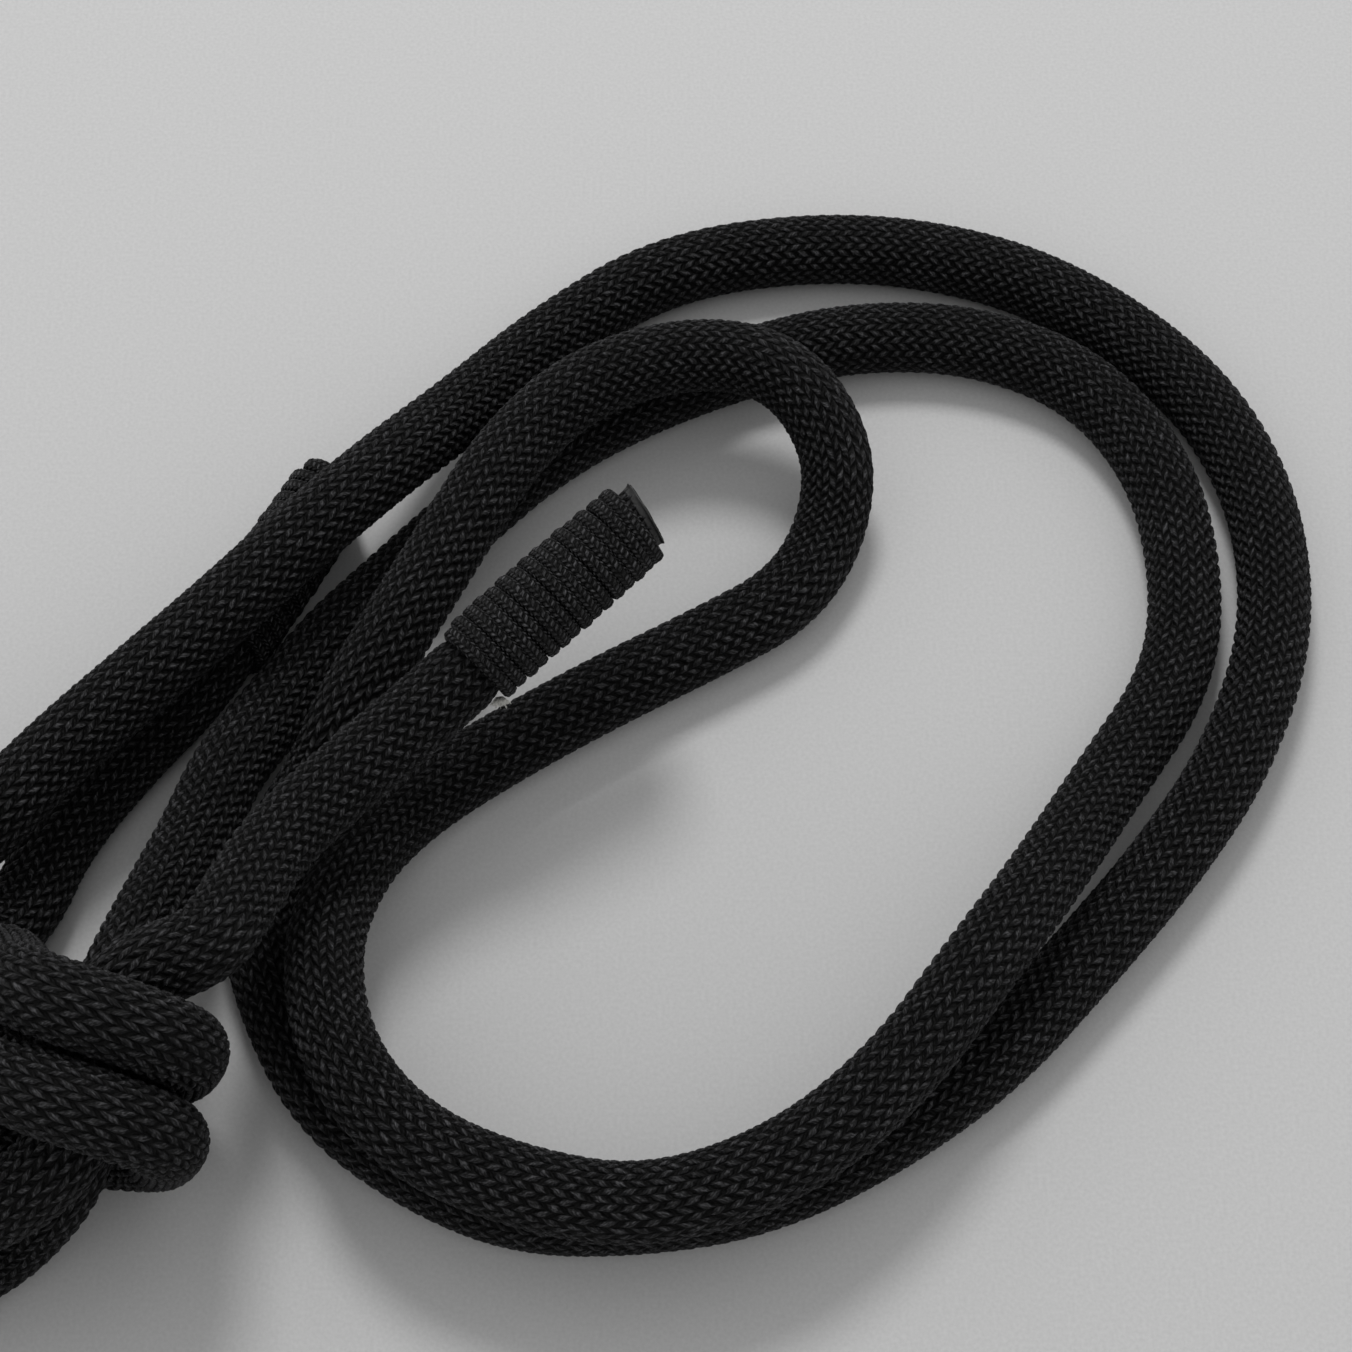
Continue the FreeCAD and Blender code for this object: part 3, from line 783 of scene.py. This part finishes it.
def yarn_material(name, crest_colour, painted_gap_shade_colour, filaments, depth, roughness):
    """Braided nylon yarn: matte, with fine filaments that run along each stitch, bright filament specks
    painted in as glints, and painted shade in the gaps.
    """
    material, tree = new_material(name)
    height, across, pairs, first_over, stitch = braid_pattern(tree)
    fine = add(tree, "ShaderNodeCombineXYZ", {
        0: math_node(tree, "MULTIPLY", across, filaments),
        1: math_node(tree, "MULTIPLY", pairs, filaments * 0.6),
        2: math_node(tree, "MULTIPLY", first_over, 7.3)})
    filament = add(tree, "ShaderNodeTexNoise", {
        "Vector": fine, "Scale": 1.0, "Detail": 2.0, "Roughness": 0.6})
    one_stitch = add(tree, "ShaderNodeTexWhiteNoise", {"Vector": stitch}, noise_dimensions="3D")
    object_spot = add(tree, "ShaderNodeTexCoord", output=3)
    worn = add(tree, "ShaderNodeTexNoise", {
        "Vector": object_spot, "Scale": 1 / (9 * MM), "Detail": 3.0})

    # Painted shade: the colour goes from the crest colour to the near-black gap colour as the braid's height
    # falls.
    shade = add(tree, "ShaderNodeMapRange", {
        0: height, 1: 0.25, 2: 0.85, 3: 0.0, 4: 1.0}, interpolation_type="SMOOTHSTEP")
    colour = add(tree, "ShaderNodeMix", {
        0: shade, 6: painted_gap_shade_colour, 7: crest_colour}, output=2, data_type="RGBA")
    uneven = add(tree, "ShaderNodeMapRange", {0: one_stitch, 3: 0.7, 4: 1.3})
    # Filament tone and painted glints: the filament noise lifts the colour up to five times in sparse
    # specks, painted where fibres would catch the lamp.
    filament_tone_and_glint = add(tree, "ShaderNodeMapRange", {0: filament, 1: 0.45, 2: 0.72, 3: 0.35, 4: 5.0})
    patch = add(tree, "ShaderNodeMapRange", {0: worn, 1: 0.3, 2: 0.7, 3: 0.88, 4: 1.12})
    gain = math_node(tree, "MULTIPLY", math_node(tree, "MULTIPLY", uneven, filament_tone_and_glint), patch)
    tint = add(tree, "ShaderNodeVectorMath", {0: colour, 3: gain}, operation="SCALE")

    relief = math_node(tree, "MULTIPLY_ADD", filament, 0.3, height)
    normal = add(tree, "ShaderNodeBump", {"Height": relief, "Distance": depth, "Strength": 1.0})
    rough = add(tree, "ShaderNodeMapRange", {
        0: filament, 1: 0.3, 2: 0.7, 3: roughness - 0.08, 4: roughness + 0.1})
    shader = add(tree, "ShaderNodeBsdfPrincipled", {
        "Base Color": tint, "Roughness": rough, "IOR": NYLON_IOR, "Specular IOR Level": 0.14,
        "Normal": normal})
    add(tree, "ShaderNodeOutputMaterial", {"Surface": shader}, output=None)
    return material


def melt_material(colour):
    """Nylon melted with a flame and set: a dull skin with small blisters and glossy spots."""
    material, tree = new_material("melted_nylon")
    spot = add(tree, "ShaderNodeTexCoord", output=3)
    blister = add(tree, "ShaderNodeTexNoise", {"Vector": spot, "Scale": 1 / (1.1 * MM), "Detail": 4.0})
    pit = add(tree, "ShaderNodeTexVoronoi", {"Vector": spot, "Scale": 1 / (0.7 * MM)}, feature="SMOOTH_F1")
    relief = math_node(tree, "MULTIPLY_ADD", pit, 0.4, blister)
    normal = add(tree, "ShaderNodeBump", {"Height": relief, "Distance": 0.2 * MM})
    rough = add(tree, "ShaderNodeMapRange", {0: blister, 1: 0.35, 2: 0.65, 3: 0.35, 4: 0.6})
    # Painted shade: the colour is darker in the pits, where the bump is lowest, and lighter between them.
    shade = add(tree, "ShaderNodeMapRange", {0: pit, 3: 0.6, 4: 1.3})
    tint = add(tree, "ShaderNodeVectorMath", {0: colour[:3], 3: shade}, operation="SCALE")
    shader = add(tree, "ShaderNodeBsdfPrincipled", {
        "Base Color": tint, "Roughness": rough, "IOR": NYLON_IOR, "Normal": normal})
    add(tree, "ShaderNodeOutputMaterial", {"Surface": shader}, output=None)
    return material


def core_material(colour):
    """Undyed twisted nylon strand: off-white, with the lay of its yarns as slanting grooves, their bottoms
    painted darker as painted shade.
    """
    material, tree = new_material("twisted_core_nylon")
    spot = add(tree, "ShaderNodeUVMap", uv_map="braid")
    around = add(tree, "ShaderNodeSeparateXYZ", {0: spot}, output=0)
    lay = around.node.outputs[1]
    plies = 3.0
    phase = math_node(tree, "MULTIPLY", math_node(tree, "ADD", around, lay), plies)
    groove = math_node(tree, "MULTIPLY", math_node(tree, "PINGPONG", phase, 0.5), 2.0)
    fine = add(tree, "ShaderNodeTexNoise", {"Vector": spot, "Scale": 60.0, "Detail": 2.0})
    relief = math_node(tree, "MULTIPLY_ADD", fine, 0.2, groove)
    normal = add(tree, "ShaderNodeBump", {"Height": relief, "Distance": 0.3 * MM})
    # Painted shade: the colour darkens towards the bottom of each groove.
    shade = add(tree, "ShaderNodeMapRange", {0: groove, 3: 0.6, 4: 1.0})
    tint = add(tree, "ShaderNodeVectorMath", {0: colour[:3], 3: shade}, operation="SCALE")
    shader = add(tree, "ShaderNodeBsdfPrincipled", {
        "Base Color": tint, "Roughness": 0.6, "IOR": NYLON_IOR, "Normal": normal})
    add(tree, "ShaderNodeOutputMaterial", {"Surface": shader}, output=None)
    return material


def fray_material(colour):
    """Nylon fibres split off the thread: pale and dull, each with its own shade."""
    material, tree = new_material("frayed_nylon_fibre")
    spot = add(tree, "ShaderNodeTexCoord", output=3)
    shade_noise = add(tree, "ShaderNodeTexNoise", {"Vector": spot, "Scale": 1 / (0.5 * MM), "Detail": 2.0})
    shade = add(tree, "ShaderNodeMapRange", {0: shade_noise, 1: 0.35, 2: 0.65, 3: 0.55, 4: 1.1})
    tint = add(tree, "ShaderNodeVectorMath", {0: colour[:3], 3: shade}, operation="SCALE")
    shader = add(tree, "ShaderNodeBsdfPrincipled", {"Base Color": tint, "Roughness": 0.6, "IOR": NYLON_IOR})
    add(tree, "ShaderNodeOutputMaterial", {"Surface": shader}, output=None)
    return material


def paper_material(colour):
    """Plain matte paper: an even pale grey with a fine grain."""
    material, tree = new_material("plain_paper")
    spot = add(tree, "ShaderNodeTexCoord", output=3)
    fibre = add(tree, "ShaderNodeTexNoise", {"Vector": spot, "Scale": 1 / (0.5 * MM), "Detail": 3.0})
    shade = add(tree, "ShaderNodeMapRange", {0: fibre, 1: 0.3, 2: 0.7, 3: 0.95, 4: 1.05})
    tint = add(tree, "ShaderNodeVectorMath", {0: colour[:3], 3: shade}, operation="SCALE")
    shader = add(tree, "ShaderNodeBsdfPrincipled", {
        "Base Color": tint, "Roughness": 0.92, "Specular IOR Level": 0.2})
    add(tree, "ShaderNodeOutputMaterial", {"Surface": shader}, output=None)
    return material


# The stage

CAMERA_PLACE = (0.0, -0.2125, 0.373)
CAMERA_TILT = math.radians(30)
CAMERA_LENS = 85.2
FLOOR_SIZE = 9.0
LAMP_FROM = (-0.05, 0.57, 0.82)
LAMP_DISTANCE = 1.1
LAMP_WIDTH = 0.32
LAMP_POWER = 5.3
SKY_STRENGTH = 1.12


def make_floor():
    bm = bmesh.new()
    bmesh.ops.create_grid(bm, x_segments=1, y_segments=1, size=FLOOR_SIZE / 2)
    mesh = bpy.data.meshes.new("floor")
    bm.to_mesh(mesh)
    bm.free()
    floor = bpy.data.objects.new("floor", mesh)
    floor.data.materials.append(paper_material(colours().paper))
    bpy.context.scene.collection.objects.link(floor)


def make_lamp():
    """One soft lamp, up behind the rope, with more of the light coming from all round."""
    data = bpy.data.lights.new("window", "AREA")
    data.shape = "DISK"
    data.size = LAMP_WIDTH
    data.energy = LAMP_POWER
    lamp = bpy.data.objects.new("window", data)
    direction = Vector(LAMP_FROM).normalized()
    lamp.location = direction * LAMP_DISTANCE
    lamp.rotation_euler = direction.to_track_quat("Z", "Y").to_euler()
    bpy.context.scene.collection.objects.link(lamp)


def make_sky():
    world = bpy.data.worlds.new("room")
    world.use_nodes = True
    tree = world.node_tree
    tree.nodes.clear()
    seen = add(tree, "ShaderNodeLightPath", output=0)
    strength = add(tree, "ShaderNodeMapRange", {0: seen, 3: SKY_STRENGTH, 4: 1.0})
    sky = add(tree, "ShaderNodeBackground", {"Color": colours().paper, "Strength": strength})
    add(tree, "ShaderNodeOutputWorld", {"Surface": sky}, output=None)
    bpy.context.scene.world = world


def make_camera():
    data = bpy.data.cameras.new("camera")
    data.lens = CAMERA_LENS
    data.sensor_width = 36.0
    camera = bpy.data.objects.new("camera", data)
    camera.location = Vector(CAMERA_PLACE) - Vector(CENTRE)
    camera.rotation_euler = (CAMERA_TILT, 0, 0)
    bpy.context.scene.collection.objects.link(camera)
    bpy.context.scene.camera = camera


# The operators


class ROPE_OT_core(bpy.types.Operator):
    """Make the core strands inside the sheath"""

    bl_idname = "rope.core"
    bl_label = "Core strands"

    def execute(self, context):
        material = core_material(colours().core)
        for number in range(CORE_RING_STRANDS + 1):
            node = "core_strand_%d" % number if number else "core_strand_middle"
            mesh = core_mesh("twisted_" + node, number)
            finish_piece("twisted_" + node, mesh, material, "core", node)
        return {"FINISHED"}


class ROPE_OT_ends(bpy.types.Operator):
    """Make the two whippings and the two melted ends"""

    bl_idname = "rope.ends"
    bl_label = "Whippings and melted ends"

    def execute(self, context):
        thread = yarn_material(
            "braided_thread", colours().thread, colours().gap, filaments=3.0, depth=0.3 * MM, roughness=0.55)
        melt = melt_material(colours().melt)
        for word, from_start in (("one", True), ("two", False)):
            name = "thread_whipping_" + word
            finish_piece(name, thread_mesh(name, from_start), thread, "thread", "whipping_" + word)
            name = "melted_end_" + word
            finish_piece(name, seal_mesh(name, from_start), melt, "melted_nylon", "sealed_end_" + word)
        finish_piece("frayed_thread_end", fray_mesh(True), fray_material(colours().frayed), "thread")
        return {"FINISHED"}


class ROPE_OT_sheath(bpy.types.Operator):
    """Make the braided sheath, length by length"""

    bl_idname = "rope.sheath"
    bl_label = "Braided sheath"

    def execute(self, context):
        yarn = yarn_material(
            "braided_nylon", colours().sheath, colours().gap, filaments=8.0, depth=0.5 * MM, roughness=0.6)
        line = rope_line()
        spans = stretch_spans()
        for name, stretches, nodes in LENGTHS:
            start = spans[stretches[0]][0]
            end = spans[stretches[-1]][1]
            piece = finish_piece("braid_" + name, sheath_mesh(name, start, end), yarn, "sheath", *nodes)
            limits = line.at(np.array([start, end]))[0]
        return {"FINISHED"}


class ROPE_OT_stage(bpy.types.Operator):
    """Make the paper, the lamp, the sky and the camera"""

    bl_idname = "rope.stage"
    bl_label = "Stage"

    def execute(self, context):
        make_floor()
        make_lamp()
        make_sky()
        make_camera()
        scene = context.scene
        scene.render.engine = "CYCLES"
        scene.view_settings.view_transform = "Standard"
        return {"FINISHED"}


OPERATORS = (ROPE_OT_stage, ROPE_OT_core, ROPE_OT_ends, ROPE_OT_sheath)


class ROPE_PT_panel(bpy.types.Panel):
    """The rope's sizes, colours and pieces"""

    bl_idname = "ROPE_PT_panel"
    bl_label = "Climbing rope"
    bl_space_type = "VIEW_3D"
    bl_region_type = "UI"
    bl_category = "Rope"

    def draw(self, context):
        for group in (sizes(), colours()):
            for name in group.__annotations__:
                self.layout.prop(group, name)
        for operator in OPERATORS:
            self.layout.operator(operator.bl_idname)


CLASSES = (RopeSizes, RopeColours, *OPERATORS, ROPE_PT_panel)


def register():
    for cls in CLASSES:
        bpy.utils.register_class(cls)
    bpy.types.Scene.rope_sizes = bpy.props.PointerProperty(type=RopeSizes)
    bpy.types.Scene.rope_colours = bpy.props.PointerProperty(type=RopeColours)


def unregister():
    del bpy.types.Scene.rope_colours
    del bpy.types.Scene.rope_sizes
    for cls in reversed(CLASSES):
        bpy.utils.unregister_class(cls)


def main():
    register()
    for operator in OPERATORS:
        group, name = operator.bl_idname.split(".")
        getattr(getattr(bpy.ops, group), name)()


if __name__ == "__main__":
    main()
